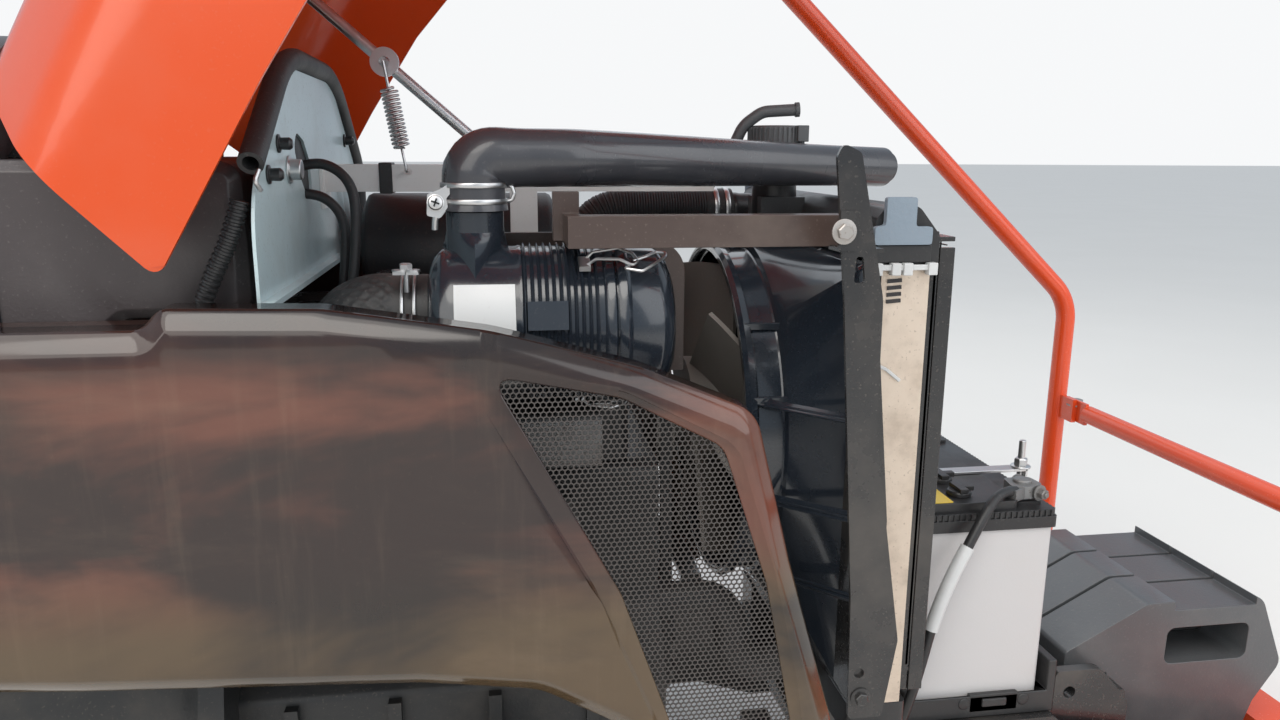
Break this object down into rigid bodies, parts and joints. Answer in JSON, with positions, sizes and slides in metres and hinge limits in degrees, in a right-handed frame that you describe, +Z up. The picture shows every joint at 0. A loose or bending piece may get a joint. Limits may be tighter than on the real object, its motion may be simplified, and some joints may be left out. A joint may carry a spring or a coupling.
{
  "type": "compact tractor engine bay",
  "caption": "Front end of a compact tractor split at its clutch housing, with the bonnet propped open over the engine, radiator, battery and weights.",
  "frame": {"origin": "centre of the clutch housing's rear flange, on the crank's axis", "axes": "+X forward, +Y to the left, +Z up"},
  "size_m": [1.252, 0.744, 1.378],
  "materials": {
    "orange_paint": "gloss",
    "black_gloss": "gloss",
    "black_satin": "satin",
    "black_paint": "satin",
    "mesh_black": "satin",
    "engine_grey": "satin",
    "weight_grey": "satin",
    "exhaust_iron": "matte",
    "muffler_black": "matte",
    "cast_aluminium": "satin",
    "core_metal": "satin",
    "rubber": "matte",
    "cable_sheath": "satin",
    "sheet_grey": "satin",
    "bar_white": "satin",
    "bright_steel": "satin",
    "case_white": "satin",
    "lamp_lens": "gloss",
    "fan_plastic": "satin"
  },
  "bodies": {
    "engine_bay": {"air_cleaner": "black_gloss", "air_cleaner_cap": "black_gloss", "alternator": "cast_aluminium", "battery_cable": "cable_sheath", "battery_case": "case_white", "battery_clamp": "bright_steel", "battery_lid": "black_satin", "battery_tray": "black_satin", "bulkhead": "sheet_grey", "bulkhead_seal": "rubber", "cable_lower": "cable_sheath", "cable_upper": "cable_sheath", "clutch_housing": "engine_grey", "cover_brackets": "black_paint", "crank_pulley": "black_paint", "cylinder_head": "engine_grey", "dash_cowl": "black_satin", "engine_block": "engine_grey", "engine_loom": "cable_sheath", "exhaust_manifold": "exhaust_iron", "fan_belt": "rubber", "fan_shroud": "black_gloss", "front_beam": "orange_paint", "front_frame": "engine_grey", "front_weights": "weight_grey", "fuel_tank": "black_satin", "hinge_brackets": "black_paint", "injection_pump": "cast_aluminium", "intake_manifold": "cast_aluminium", "intake_pipe": "black_gloss", "lower_hose": "rubber", "muffler": "muffler_black", "oil_filter": "black_paint", "oil_pan": "engine_grey", "outlet_hose": "rubber", "post_crossbar": "orange_paint", "radiator_baffles": "black_paint", "radiator_core": "core_metal", "radiator_screen": "black_paint", "radiator_tank": "black_paint", "rocker_cover": "black_paint", "roof_posts": "orange_paint", "side_cover_left": "black_gloss", "side_cover_right": "black_gloss", "side_mesh_left": "mesh_black", "side_mesh_right": "mesh_black", "stay_bar": "bar_white", "support_bar": "black_paint", "upper_hose": "rubber", "weight_bracket": "black_paint"},
    "bonnet": {"bonnet": "orange_paint", "nose_grille": "black_satin", "headlamps": "lamp_lens"},
    "prop_rod": {"prop_rod": "bright_steel"},
    "spring_lower": {"stay_spring": "bright_steel"},
    "spring_upper": {"spring_hook": "bright_steel"},
    "fan": {"fan": "fan_plastic"}
  },
  "joints": [
    {"name": "bonnet_hinge", "type": "hinge", "parent": "engine_bay", "child": "bonnet", "pos_m": [0.165, 0, 0.483], "axis": [0, 1, 0], "range_deg": [0, 58.3]},
    {"name": "prop_rod_pivot", "type": "hinge", "parent": "bonnet", "child": "prop_rod", "pos_m": [0.2318, 0.02, 0.622], "axis": [0, 1, 0], "range_deg": [-84.51, 0]},
    {"name": "spring_pivot", "type": "hinge", "parent": "engine_bay", "child": "spring_lower", "pos_m": [0.369, 0, 0.425], "axis": [0, 1, 0], "range_deg": [0, 82.44]},
    {"name": "spring_stretch", "type": "slide", "parent": "spring_lower", "child": "spring_upper", "axis": [-0.1646, 0, 0.9864], "range_m": [0, 0.0186]},
    {"name": "fan_spin", "type": "hinge", "parent": "engine_bay", "child": "fan", "pos_m": [0.622, 0, 0.208], "axis": [1, 0, 0], "continuous": true}
  ],
  "couplings": [
    {"joint": "prop_rod_pivot", "follows": "bonnet_hinge", "ratio": -1.4478},
    {"joint": "spring_pivot", "follows": "bonnet_hinge", "ratio": 1.4124},
    {"joint": "spring_stretch", "follows": "bonnet_hinge", "m_per_rad": 0.018182}
  ]
}
